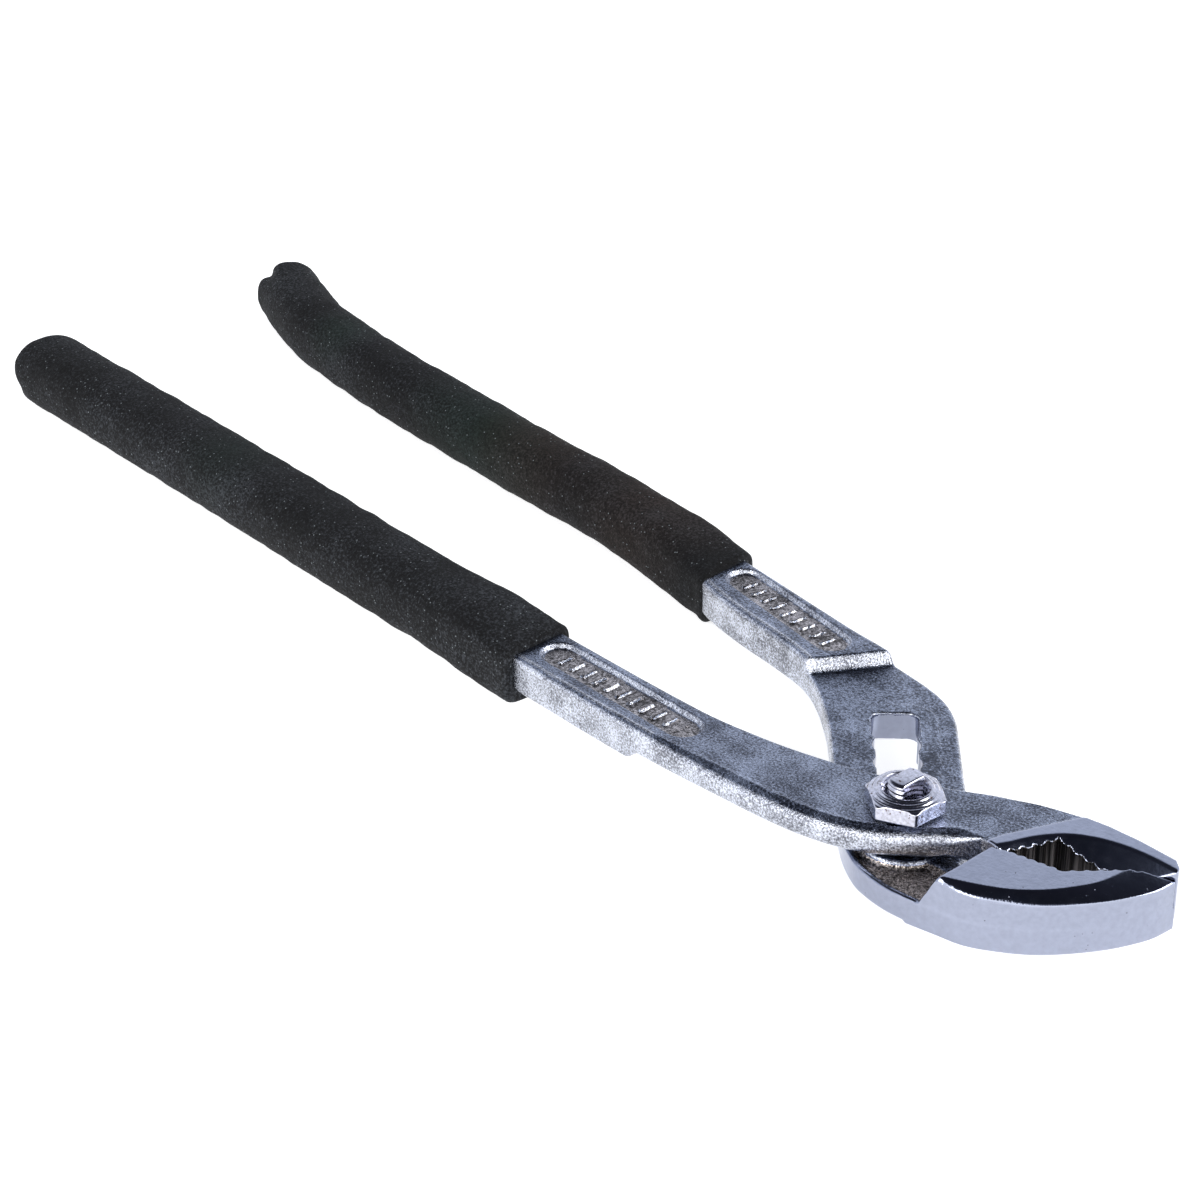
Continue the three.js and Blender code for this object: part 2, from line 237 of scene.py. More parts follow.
def skin(name, grid, field, paints, choose):
    """The zero surface of a field as a mesh. choose gives each face's paint from its centre."""
    cells = tuple(n - 1 for n in field.shape)
    points, quads = [], []
    for k in range(3):
        u, v = (k + 1) % 3, (k + 2) % 3
        low = np.take(field, range(field.shape[k] - 1), k)
        high = np.take(field, range(1, field.shape[k]), k)
        at = np.argwhere((low < 0) != (high < 0))
        a, b = low[tuple(at.T)], high[tuple(at.T)]
        point = np.stack([grid.axes[m][at[:, m]] for m in range(3)], 1).astype(float)
        point[:, k] += a / (a - b) * (grid.axes[k][at[:, k] + 1] - grid.axes[k][at[:, k]])
        corners = []
        for du, dv in ((1, 1), (0, 1), (0, 0), (1, 0)):
            cell = at.copy()
            cell[:, u] -= du
            cell[:, v] -= dv
            corners.append(np.ravel_multi_index(cell.T, cells))
        quad = np.stack(corners, 1)
        outward = (a < 0)[:, None]
        quads.append(np.where(outward, quad, quad[:, ::-1]))
        points.append(point)
    quads, points = np.vstack(quads), np.vstack(points)
    used, index = np.unique(quads.ravel(), return_inverse=True)
    spread = np.repeat(points, 4, 0)
    count = np.bincount(index)
    vertices = np.stack([np.bincount(index, spread[:, m]) / count for m in range(3)], 1)
    faces = index.reshape(-1, 4)

    cell = np.stack(np.unravel_index(used, cells), 1)
    normals = np.zeros_like(vertices)
    for corner in np.ndindex(2, 2, 2):
        value = field[tuple((cell + corner).T)]
        for m in range(3):
            step = grid.axes[m][cell[:, m] + 1] - grid.axes[m][cell[:, m]]
            normals[:, m] += (2 * corner[m] - 1) * value / step
    normals /= np.linalg.norm(normals, axis=1)[:, None]

    mesh = bpy.data.meshes.new(name)
    mesh.from_pydata((vertices * MM).tolist(), [], faces.tolist())
    centre = vertices[faces].mean(1)
    facing = normals[faces].mean(1)
    mesh.polygons.foreach_set("material_index", choose(centre, facing).astype(np.int32))
    mesh.polygons.foreach_set("use_smooth", np.ones(len(faces), bool))
    for paint in paints:
        mesh.materials.append(paint)
    mesh.normals_split_custom_set_from_vertices(normals.tolist())
    return add_piece(mesh)


# ---------- materials ----------


def color_ramp(tree, value, stops):
    """Colours or greys by value, through a ramp with (position, colour) stops."""
    node = tree.nodes.new("ShaderNodeValToRGB")
    elements = node.color_ramp.elements
    while len(elements) < len(stops):
        elements.new(0.5)
    for element, (position, color) in zip(elements, stops):
        element.position = position
        element.color = (*color, 1) if hasattr(color, "__len__") else (color, color, color, 1)
    tree.links.new(value, node.inputs["Fac"])
    return node.outputs["Color"]


class Paint:
    """A node material whose textures are sized in millimetres of the object."""

    def __init__(self, name, **sockets):
        self.material = bpy.data.materials.new(name)
        self.material.use_nodes = True
        self.tree = self.material.node_tree
        self.shader = self.tree.nodes["Principled BSDF"]
        for socket, value in sockets.items():
            self.shader.inputs[socket.replace("_", " ")].default_value = value
        self.place = self.node("ShaderNodeTexCoord").outputs["Object"]

    def node(self, kind, **settings):
        node = self.tree.nodes.new(kind)
        for key, value in settings.items():
            setattr(node, key, value)
        return node

    def link(self, source, target):
        self.tree.links.new(source, target)

    def feed(self, source, socket):
        self.link(source, self.shader.inputs[socket])

    def noise(self, size, detail=2.0, roughness=0.5, stretch=(1, 1, 1)):
        """Cloudy noise, with features of about that many millimetres."""
        node = self.node("ShaderNodeTexNoise")
        node.inputs["Scale"].default_value = 1 / (size * MM)
        node.inputs["Detail"].default_value = detail
        node.inputs["Roughness"].default_value = roughness
        scaled = self.node("ShaderNodeVectorMath", operation="DIVIDE")
        scaled.inputs[1].default_value = stretch
        self.link(self.place, scaled.inputs[0])
        self.link(scaled.outputs["Vector"], node.inputs["Vector"])
        return node.outputs["Fac"]

    def grains(self, size):
        """Distance to scattered points, for pits and painted glints."""
        node = self.node("ShaderNodeTexVoronoi")
        node.inputs["Scale"].default_value = 1 / (size * MM)
        self.link(self.place, node.inputs["Vector"])
        return node.outputs["Distance"]

    def ramp(self, value, *stops):
        return color_ramp(self.tree, value, stops)

    def blend(self, factor, a, b):
        node = self.node("ShaderNodeMix", data_type="RGBA")
        self.link(factor, node.inputs["Factor"])
        for source, index in ((a, 6), (b, 7)):
            if isinstance(source, bpy.types.NodeSocket):
                self.link(source, node.inputs[index])
            else:
                node.inputs[index].default_value = (*source, 1)
        return node.outputs[2]

    def math(self, operation, a, b):
        """A sum, product or the like of two sockets, or of a socket and a number."""
        node = self.node("ShaderNodeMath", operation=operation)
        for source, socket in ((a, node.inputs[0]), (b, node.inputs[1])):
            if isinstance(source, bpy.types.NodeSocket):
                self.link(source, socket)
            else:
                socket.default_value = source
        return node.outputs[0]

    def near(self, point, reach):
        """1 at a point of the object, 0 beyond reach millimetres."""
        node = self.node("ShaderNodeVectorMath", operation="DISTANCE")
        self.link(self.place, node.inputs[0])
        node.inputs[1].default_value = Vector(point) * MM
        share = self.math("DIVIDE", node.outputs["Value"], reach * MM)
        return self.ramp(share, (0.0, 1.0), (1.0, 0.0))

    def bump(self, height, depth, strength=1.0, over=None):
        node = self.node("ShaderNodeBump")
        node.inputs["Strength"].default_value = strength
        node.inputs["Distance"].default_value = depth * MM
        self.link(height, node.inputs["Height"])
        if over:
            self.link(over, node.inputs["Normal"])
        return node.outputs["Normal"]


def forged_chrome(name, dark, light, grain=0.36, depth=0.11):
    """Chrome over a blasted forging: salt and pepper grains, with cloudy tone."""
    paint = Paint(name, Metallic=1.0)
    cloud = paint.noise(5, 4)
    sand = paint.noise(grain, 4, 0.7)
    both = paint.math("ADD", paint.math("MULTIPLY", cloud, 0.3), paint.math("MULTIPLY", sand, 0.7))
    paint.feed(paint.ramp(both, (0.42, dark), (0.58, light)), "Base Color")
    paint.feed(paint.ramp(sand, (0.35, 0.14), (0.65, 0.27)), "Roughness")
    coarse = paint.bump(paint.noise(2.0, 3), depth * 0.5)
    paint.feed(paint.bump(sand, depth, 1.0, coarse), "Normal")
    return paint.material


def polished_chrome(name, color, roughness):
    """Ground and plated chrome with tiny pits."""
    paint = Paint(name, Metallic=1.0)
    pits = paint.ramp(paint.grains(1.3), (0.04, 0.0), (0.09, 1.0))
    rare = paint.ramp(paint.noise(2.4, 1), (0.5, 1.0), (0.56, 0.0))
    clean = paint.math("MAXIMUM", pits, rare)
    cloud = paint.ramp(paint.noise(0.9, 3), (0.3, [c * 0.9 for c in color]), (0.7, color))
    paint.feed(paint.blend(clean, (0.06, 0.055, 0.055), cloud), "Base Color")
    haze = paint.noise(1.6, 4, 0.6)
    paint.feed(paint.ramp(haze, (0.3, roughness * 0.8), (0.75, roughness * 1.5)), "Roughness")
    waves = paint.bump(paint.noise(7, 2), 0.03)
    brushed = paint.bump(paint.noise(0.5, 3), 0.012, 1.0, waves)
    paint.feed(paint.bump(clean, 0.05, 0.6, brushed), "Normal")
    return paint.material


def serrated_chrome(name):
    """The toothed walls of the pipe hollow: dark, with upright broach marks."""
    paint = Paint(name, Metallic=1.0)
    marks = paint.noise(0.55, 2, 0.5, (1, 1, 40))
    tone = paint.ramp(marks, (0.38, (0.008, 0.008, 0.009)), (0.62, (0.085, 0.078, 0.078)))
    paint.feed(tone, "Base Color")
    paint.feed(paint.ramp(marks, (0.3, 0.5), (0.7, 0.3)), "Roughness")
    paint.feed(paint.bump(marks, 0.12), "Normal")
    return paint.material


def fastener_steel(name):
    """Plated steel with rust where water has stood."""
    paint = Paint(name, Metallic=1.0)
    rust = paint.ramp(paint.noise(0.9, 5, 0.7), (0.60, 0.0), (0.66, 1.0))
    tone = paint.ramp(paint.noise(0.5, 3), (0.3, (0.40, 0.40, 0.45)), (0.7, (0.62, 0.63, 0.74)))
    paint.feed(paint.blend(rust, tone, (0.11, 0.05, 0.025)), "Base Color")
    paint.feed(paint.ramp(rust, (0.0, 0.14), (1.0, 0.75)), "Roughness")
    paint.feed(paint.bump(paint.noise(0.6, 2), 0.008), "Normal")
    return paint.material


def foam_rubber(name, stains):
    """Black sandy rubber with faint painted glints and coloured scuffs."""
    paint = Paint(name, Roughness=0.85, IOR=1.35)
    sand = paint.noise(0.45, 5, 0.75)
    cloud = paint.noise(14, 3)
    both = paint.math("ADD", paint.math("MULTIPLY", sand, 0.75), paint.math("MULTIPLY", cloud, 0.25))
    tone = paint.ramp(both, (0.41, (0.0006, 0.0006, 0.0008)), (0.52, (0.0035, 0.0038, 0.005)),
                      (0.63, (0.045, 0.05, 0.058)))
    for point, reach, color in stains:
        patch = paint.math("MULTIPLY", paint.near(point, reach), paint.ramp(sand, (0.4, 0.15), (0.65, 0.9)))
        tone = paint.blend(patch, tone, color)
    # light grey specks in the base colour: painted glints on the foam
    painted_glint = paint.ramp(paint.grains(1.1), (0.07, 1.0), (0.12, 0.0))
    paint.feed(paint.blend(paint.math("MULTIPLY", painted_glint, 0.7), tone, (0.30, 0.34, 0.36)), "Base Color")
    paint.feed(paint.ramp(sand, (0.3, 0.95), (0.75, 0.7)), "Roughness")
    lumps = paint.bump(paint.noise(2.5, 3), 0.2, 0.6)
    paint.feed(paint.bump(sand, 0.2, 1.0, lumps), "Normal")
    return paint.material


FORGED = forged_chrome("forged_chrome", (0.035, 0.042, 0.065), (0.42, 0.47, 0.60))
# lighter copy of the forged chrome: painted reflection on steep sides, painted highlight on the handle beads
LIT_CHROME = forged_chrome("lit_chrome", (0.13, 0.135, 0.16), (0.70, 0.73, 0.82), 0.32, 0.09)
POLISHED = polished_chrome("polished_chrome", (0.33, 0.355, 0.45), 0.12)
PANEL_FLOOR = forged_chrome("panel_floor", (0.06, 0.055, 0.055), (0.66, 0.62, 0.63), 0.45, 0.12)
POCKET = forged_chrome("pocket_floor", (0.07, 0.058, 0.05), (0.85, 0.75, 0.68), 0.4, 0.12)
SERRATED = serrated_chrome("serrated_chrome")
LEVER_PAINTS = [FORGED, LIT_CHROME, POLISHED, PANEL_FLOOR, POCKET, SERRATED]
STEEL = fastener_steel("fastener_steel")

# ---------- outlines ----------

A_INNER = [(-74, -2.2), (-55, -2.5), (-42, -2.5), (-34.7, -2.2), (-26.7, -1.1), (-21.6, -0.1), (-15.2, 1.6),
           (-9.7, 3.5), (-3.5, 6.5), (2.2, 9.5), (6, 11.8), (10.1, 13.7), (14.3, 15.3), (19.2, 16.8)]
A_NEAR = [(-74, -12.7), (-55, -13.3), (-42, -13.5), (-30, -13.5), (-20, -13.1), (-12.7, -12.4), (-7.5, -11.4),
          (-2.4, -9.7), (1.5, -7.4), (5.3, -4.2), (9, -0.5), (12.4, 2.3)]
JAW_A_OUTER = [(19.2, 16.8), (22.7, 17.4), (27.8, 17.7), (34.2, 17.6), (35.7, 16.4), NOSE]
A_JAW_BACK_R = 12.6                # jaw A's back is trimmed round the pivot, so that the jaws open
A_JAW_BACK = (12.1, 14.4)
A_POLISHED_EDGE = [(13.2, 1.5), (13.8, 4.6), (15, 7.5), (16.9, 12.2), (19.2, 17.4)]
FUNNEL = [(15.0, 2.3), (15.9, 4.1), (17.4, 7.7), (20.0, 11.3), (23.7, 13.7), (27.8, 15.0), (32, 15.5),
          (36.4, 15.5)]
FUNNEL_WALL = 1.15                 # how far the funnel closes in for each millimetre of depth
HOLE_HALF = 1.8                    # double-D hole: half its width, and its radius
HOLE_R = 3.1

B_FAR = [(-74, 39.6), (-68.8, 38.6), (-60, 37.5), (-50.5, 36.3), (-42, 35.3), (-36.3, 34.9), (-30, 34.2),
         (-24.7, 33.4), (-20.5, 32.2), (-16.5, 29.9), (-12.5, 26.2), (-4.1, 17.9), (3.4, 10.6)]
B_NEAR = [(-74, 31.4), (-71.6, 30.1), (-69.2, 28.4), (-64, 26.9), (-57, 25.6), (-50.6, 24.8), (-44.1, 23.7),
          (-40.4, 22.5), (-37.4, 21.0), (-34.2, 18.9), (-30.6, 16.2), (-26, 12.3), (-16, 2.7), (-9.6, -3.4)]
B_HEEL = [(-9.6, -3.4), (-5.4, -6.8), (-1.2, -9.3), (1.9, -10.3), (6, -10.8), (10.1, -10.5), (14.2, -9.8)]
JAW_B_OUTER = [(14.2, -9.8), (19.2, -8.7), (23.7, -6.1), (27.4, -3.1), (30.6, 0.8), (33.6, 5.6), (35.8, 11),
               NOSE]
JAW_B_CREST = [(14.6, -9.2), (17.5, -7.8), (20.6, -6.2), (23.7, -4.1), (26.8, -0.8), (29.2, 3.1), (30.5, 6.4),
               (31.2, 12.0)]
JAW_B_BACK = 14.6
B_THROAT_R = 9.6                   # lever B is cut away round the pivot, behind its jaw
B_STEP = [(-39.8, 22.5), (-31.4, 36.0)]
B_STEP_RUN = 1.9                   # length of the slope up to lever B's handle
HANDLE_EDGE = 1.0                  # rounding of each handle's near edge
PLATE_EDGE = 1.9                   # rounding of lever A's near edge at the pivot
BEVEL = 1.4                        # drop of the outer bevel of each jaw
HEEL_BEVEL = 0.65                  # the same, where jaw B meets the heel
POCKET_DEPTH = 0.6                 # hollow in the heel, below the plate round it
POCKET_FLOOR = B_TOP - 0.5         # surfaces of the heel below this belong to the pocket

# The panels carry low plain bars.
PANEL_R = 3.1
PANEL_DEPTH = 0.8
PANEL_A = [(-64.2, -6.9), (-36.8, -7.6)]
PANEL_B = [(-65.1, 34.0), (-42.3, 30.0)]
BAR_PITCH = 2.6
BAR_HALF = (0.34, 1.45)
BAR_HEIGHT = 0.42


def hollow_distance(x, y):
    """Distance to the outline of the toothed pipe hollow between the jaws."""
    outline = np.vstack([teeth(NOTCH_B, THROAT, 6, -TOOTH)[::-1], teeth(NOTCH_B, NOTCH_END, 6, -TOOTH)[1:],
                         teeth(NOTCH_END, NOTCH_A, 7, TOOTH)[1:], teeth(NOTCH_A, THROAT, 5, TOOTH)[1:-1]])
    return outline_distance(outline, x, y)


def ground_distance(x, y):
    """Distance to the ground part of jaw A's top, negative in it."""
    return outline_distance(np.vstack([curve(A_POLISHED_EDGE), [(45, 20), (45, -5)]]), x, y)


def panel(grid, ends, top):
    """A height map with a round-ended recess, a sloping wall round it and low bars across its floor."""
    (x0, y0), (x1, y1) = ends
    length = math.dist(*ends)
    ux, uy = (x1 - x0) / length, (y1 - y0) / length
    along = (grid.x - x0) * ux + (grid.y - y0) * uy
    across = (grid.y - y0) * ux - (grid.x - x0) * uy
    edge = np.hypot(along - np.clip(along, 0, length), across) - PANEL_R
    recess = PANEL_DEPTH * smooth(0.15, -0.6, edge)
    phase = along % BAR_PITCH - BAR_PITCH / 2
    bar = np.maximum(np.abs(phase) - BAR_HALF[0], np.abs(across) - BAR_HALF[1])
    inside = smooth(-0.5, -1.0, np.maximum(-along, along - length) - 0.5)
    return top - recess + BAR_HEIGHT * smooth(0.25, -0.2, bar) * inside


def crest_bead(distance, amount):
    """The raised line that forging leaves where a top face turns down."""
    return 0.15 * amount * np.exp(-(distance / 0.3) ** 2)


def funnel(grid, outline, depth):
    """The wide mouth of the pipe hollow, cut into one jaw from one side."""
    return (outline_distance(outline, grid.x, grid.y) + depth * FUNNEL_WALL) / math.hypot(1, FUNNEL_WALL)


FUNNEL_A = np.vstack([curve(FUNNEL), [(37.5, 12), (28, 3), (18, -1)]])
FUNNEL_B = across_jaws(FUNNEL_A)


def repaint(paint, where, material):
    return np.where(where, LEVER_PAINTS.index(material), paint)


def forged_or_lit_side(facing):
    """The die leaves dark sandy faces above and below; steep sides get a lighter copy of that chrome, a
    painted reflection of the bright table and walls.
    """
    return repaint(LEVER_PAINTS.index(FORGED), np.abs(facing[:, 2]) < 0.78, LIT_CHROME)


def off_bead(points, x, y):
    """Distance to the bead that runs along a handle's near edge."""
    return np.abs(line_distance(curve(points), x, y) - HANDLE_EDGE)


def paint_details(paint, centre, facing, bead, panel_ends):
    """A painted highlight line on the bead along a handle, the dark floor of its panel and the teeth of the
    hollow.
    """
    x, y = centre[:, 0], centre[:, 1]
    # the bead takes the lighter chrome as a painted highlight line
    paint = repaint(paint, bead, LIT_CHROME)
    in_panel = line_distance(np.array(panel_ends), x, y) < PANEL_R - 0.65
    paint = repaint(paint, in_panel & (facing[:, 2] > 0.8) & (centre[:, 2] > B_TOP), PANEL_FLOOR)
    toothed = (np.abs(hollow_distance(x, y)) < 0.12) & (np.abs(facing[:, 2]) < 0.5)
    return repaint(paint, toothed, SERRATED)

# ---------- lever A ----------


def lever_a_field(grid):
    """Handle and pivot plate above the slot, with jaw A hanging down beside it."""
    x, y = grid.x, grid.y
    near, inner = curve(A_NEAR), curve(A_INNER)
    plate = outline_distance(np.vstack([near, [above_line(THROAT)], inner[::-1]]), x, y)
    to_near, to_inner = line_distance(near, x, y), line_distance(inner, x, y)
    nearness = smooth(0.35, 0.65, to_inner / (to_inner + to_near))
    jaw_end = smooth(8, 13, x)
    near_edge = mix(PLATE_EDGE, HANDLE_EDGE, smooth(-22, -42, x))
    edge = mix(mix(0.75, near_edge, nearness), JAW_EDGE, jaw_end)
    bead = crest_bead(plate + edge, nearness * smooth(12, 9, x))
    top = panel(grid, PANEL_A, TOP - ROUGH_DROP * smooth(-0.3, 0.3, ground_distance(x, y)) + bead)
    bottom = grid.level(A_BOTTOM - HANDLE_RISE * smooth(-40.5, -43.5, x))
    body = slab(grid, plate, top, bottom, edge, np.minimum(edge, 2.0))

    jaw = np.vstack([[above_line(THROAT), above_line(NOSE)], JAW_A_OUTER[-2::-1], [A_JAW_BACK],
                     arc(A_JAW_BACK_R, 29, 14, 6), [A_NEAR[-1]]])
    side = outline_distance(jaw, x, y)
    rim = line_distance(np.array(JAW_A_OUTER), x, y)
    jaw_bottom = B_BOTTOM + BEVEL * smooth(2.6, 0.0, rim)
    body = np.minimum(body, slab(grid, side, top, jaw_bottom, edge, JAW_EDGE))

    body = carve(body, funnel(grid, FUNNEL_A, TOP - grid.z), 0.25)
    body = np.maximum(body, -hollow_distance(x, y))
    hole = np.maximum(np.abs(x) - HOLE_HALF, np.hypot(x, y) - HOLE_R)
    return np.maximum(body, -hole)


def lever_a_paint(centre, facing):
    x, y, z = centre.T
    paint = repaint(forged_or_lit_side(facing), ground_distance(x, y) < 0, POLISHED)
    # where the painted highlight line runs along lever A's handle
    bead = (off_bead(A_NEAR, x, y) < 0.3) & (x < -38) & (z > TOP - 1)
    return paint_details(paint, centre, facing, bead, PANEL_A)


# ---------- lever B ----------


def slot_distance(x, y):
    """Distance to the slot with its seven seats. The last seat has a squarer end."""
    along = x * math.cos(SLOT_ANGLE) + y * math.sin(SLOT_ANGLE)
    across = y * math.cos(SLOT_ANGLE) - x * math.sin(SLOT_ANGLE)
    pitch = SLOT_LENGTH / SLOT_STEPS
    seat = np.clip(np.round(along / pitch), 0, SLOT_STEPS) * pitch
    lobe = np.hypot(along - seat, across) - LOBE_R
    reach = np.maximum(np.abs(along - SLOT_LENGTH / 2) - SLOT_LENGTH / 2, np.abs(across) - NECK_HALF)
    square = rounded(np.abs(along - SLOT_LENGTH) - LOBE_R, np.abs(across) - LOBE_R, SLOT_END_CORNER)
    return np.minimum(np.minimum(lobe, reach), square)


def lever_b_field(grid):
    """Raised handle, slotted plate with its land, heel pocket, and jaw B standing up in front."""
    x, y = grid.x, grid.y
    near, far, heel = curve(B_NEAR), curve(B_FAR), curve(B_HEEL)
    outer, crest = curve(JAW_B_OUTER), curve(JAW_B_CREST)
    plate_outline = np.vstack([near, heel[1:], outer[1:-2], [below_line(NOSE), below_line(THROAT)],
                               arc(B_THROAT_R, 8, 56, 8), far[::-1]])
    plate = outline_distance(plate_outline, x, y)
    to_near, to_far = line_distance(near, x, y), line_distance(far, x, y)
    nearness = smooth(0.35, 0.65, to_far / (to_near + to_far))
    foot = np.array(B_STEP)
    step_along = (foot[1] - foot[0]) / math.dist(*foot)
    ahead = (x - foot[0][0]) * step_along[1] - (y - foot[0][1]) * step_along[0]
    on_handle = smooth(0.1, 0.1 - B_STEP_RUN, ahead)
    edge = mix(HANDLE_EDGE, 0.4, smooth(-13, -7, x) * smooth(4, -1, y))

    off_land = smooth(0.0, 0.55, slot_distance(x, y) - LAND_WIDTH)
    pocket = smooth(-0.7, -1.5, plate) * smooth(-10, -6, x) * smooth(-1, -3, y)
    pocket = pocket * smooth(6.3, 7.2, np.hypot(x, y))
    level = mix(B_TOP - LAND_HEIGHT * off_land - POCKET_DEPTH * pocket, B_TOP + HANDLE_RISE, on_handle)
    top = panel(grid, PANEL_B, level + crest_bead(plate + edge, nearness * on_handle))
    bottom = grid.level(B_BOTTOM)
    body = slab(grid, plate, top, bottom, edge, 1.0)

    back = JAW_B_BACK - 0.5 * (TOP - grid.z) * smooth(-5.5, -8.5, y)
    jaw_outline = np.vstack([outer[:-1], [below_line(NOSE), below_line(THROAT), (9, 0.6), (9, -10.9)]])
    crest_area = np.vstack([crest, [(31.5, 15), (20, 15), (0, 0), (0, -9.2)]])
    rim_area = np.vstack([outer, [(38, 30), (-5, 30), (-5, -9.8)]])
    from_crest = np.clip(outline_distance(crest_area, x, y), 0, None)
    from_rim = np.clip(-outline_distance(rim_area, x, y), 0.02, None)
    drop = mix(HEEL_BEVEL, BEVEL, smooth(13.5, 26, x))
    jaw_top = TOP - drop * (from_crest / (from_crest + from_rim)) ** 1.15
    jaw = slab(grid, outline_distance(jaw_outline, x, y), jaw_top, bottom, JAW_EDGE, 0.6)
    body = join(body, rounded(jaw, back - x, JAW_EDGE), 0.5)

    body = carve(body, funnel(grid, FUNNEL_B, grid.z - B_BOTTOM), 0.25)
    body = np.maximum(body, -hollow_distance(x, y))
    return carve(body, slot_distance(x, y), 0.35)


def lever_b_paint(centre, facing):
    x, y, z = centre.T
    flatness = np.abs(facing[:, 2])
    corner = (x > 10.5) & (y < -5) & (z > B_TOP + 0.15)
    jaw = (x > JAW_B_BACK - 0.4) & (z > POCKET_FLOOR) | (x > 16.5) | corner
    rim = line_distance(np.vstack([curve(B_HEEL), curve(JAW_B_OUTER)]), x, y) < 0.5
    wall = rim & (z > B_BOTTOM + 1) | (z < B_TOP - 0.35) & (flatness < 0.8)
    heel_wall = (x > -8) & (y < -1) & wall
    slot_wall = (np.abs(slot_distance(x, y)) < 0.3) & (flatness < 0.5)
    paint = repaint(forged_or_lit_side(facing), jaw | heel_wall | slot_wall, POLISHED)
    heel = (x > -6.5) & (x < JAW_B_BACK) & (y < 1) & (np.hypot(x, y) > 6.5)
    pocket = heel & (z > B_TOP - 1.3) & (z < POCKET_FLOOR) & (facing[:, 2] > 0.5)
    paint = repaint(paint, pocket & ~jaw & ~rim, POCKET)
    # where the painted highlight line runs along lever B's handle
    bead = (off_bead(B_NEAR, x, y) < 0.35) & (z > B_TOP + 0.8)
    return paint_details(paint, centre, facing, bead, PANEL_B)


# ---------- bolt and nut ----------

THREAD_PITCH = 0.8
THREAD_DEPTH = 0.28
BOLT_R = 2.8
BOLT_FLAT = 1.5
BOLT_CROWN = 0.015                 # how fast the bolt's end falls off, per square millimetre
HEAD_R = 6.2
HEAD_H = 2.4
NUT_FLAT = 5.2
NUT_TURN = math.radians(-3.5)
NUT_BORE_R = 3.1
NUT_CONE = 0.52                    # slope of the nut's turned top
NUT_CONE_R = 3.4
NUT_MOUTH_R = 3.75
RING_PITCH = 0.7                   # tool marks on that top
RING_HEIGHT = 0.06


def thread(grid, radius, depth):
    """Distance to a V thread about the pivot."""
    ring = np.hypot(grid.x, grid.y)
    turn = (grid.z / THREAD_PITCH + np.arctan2(grid.y, grid.x) / (2 * np.pi)) % 1
    return ring - radius + depth * (1 - np.abs(2 * turn - 1))


def bolt_field(grid):
    """A round head and a threaded shank with two flats."""
    shank = thread(grid, BOLT_R, THREAD_DEPTH) * 0.8
    shank = rounded(shank, np.abs(grid.x) - BOLT_FLAT, 0.12)
    crown = BOLT_TOP - BOLT_CROWN * (grid.x ** 2 + grid.y ** 2)
    shank = rounded(shank, grid.z - crown, 0.3)
    shank = np.maximum(shank, 1.0 - grid.z)
    ring = np.hypot(grid.x, grid.y)
    head = rounded(ring - HEAD_R, np.abs(grid.z - HEAD_H / 2) - HEAD_H / 2, 0.55)
    return join(head, shank, 0.3)


def nut_field(grid):
    """A hexagon with a turned conical top, and a threaded bore with an open mouth."""
    flats = []
    for i in range(3):
        angle = NUT_TURN + i * math.pi / 3
        flats.append(np.abs(grid.x * math.cos(angle) + grid.y * math.sin(angle)) - NUT_FLAT)
    ring = np.hypot(grid.x, grid.y)
    body = rounded(rounded(flats[0], flats[1], 0.25), flats[2], 0.25)
    body = rounded(body, NUT_BOTTOM - grid.z, 0.2)
    turned = RING_HEIGHT * np.cos(2 * np.pi * ring / RING_PITCH)
    fall = NUT_CONE * np.clip(ring - NUT_CONE_R, 0, None)
    cone = (grid.z - NUT_TOP + fall + turned) / math.hypot(1, NUT_CONE)
    body = rounded(body, cone, 0.15)
    mouth = (NUT_MOUTH_R - ring - 0.8 * (NUT_TOP - grid.z)) / 1.28
    bore = -thread(grid, NUT_BORE_R + THREAD_DEPTH, THREAD_DEPTH) * 0.8
    return np.maximum(body, np.maximum(bore, mouth))


# ---------- grips ----------

GRIP_LINE_A = [(-68.6, -7.6, 9.2), (-101.5, -6.0, 8.4), (-154.7, -2.8, 7.3), (-197.6, -0.6, 6.4),
               (-213.4, 0.2, 6.1)]
GRIP_LINE_B = [(-69.6, 34.4, 5.9), (-75.7, 35.6, 5.9), (-101.3, 38.8, 5.9), (-121.9, 39.7, 5.9),
               (-142.4, 41.1, 5.9), (-162.9, 42.6, 5.9), (-183.5, 45.3, 5.9), (-193.8, 47.8, 5.9),
               (-210.3, 54.3, 5.9)]
GRIP_SIZE_A = (14.0, 12.2)
GRIP_SIZE_B = (11.9, 11.8)
COLLAR_SKEW_A = 0.6                # how far each collar is cut back on its far side
COLLAR_SKEW_B = 2.4
COLLAR_HEIGHT = 0.74               # upper half of the collar, as a share of the sleeve's
COLLAR_LENGTH = 0.9
TIP_LENGTH = 4.2
STATION_STEP = 0.6
SIDES = 96

# Dents near the end: direction round the sleeve, its width in radians, length and depth.
DENTS_A = [(math.radians(-20), 0.35, 6.0, 0.9)]
DENTS_B = [(math.radians(50), 0.32, 9.0, 1.7), (math.radians(215), 0.5, 7.0, 0.8)]

# Scuffs: centre, reach and colour.
GREEN = (0.010, 0.026, 0.018)
BROWN = (0.035, 0.016, 0.007)
STAINS_A = [((-150, -3, 13), 12, (0.010, 0.020, 0.016))]
STAINS_B = [((-178, 43, 12), 9, GREEN), ((-132, 39, 12), 22, GREEN), ((-118, 44, 9), 18, BROWN),
            ((-90, 42, 9), 20, BROWN)]


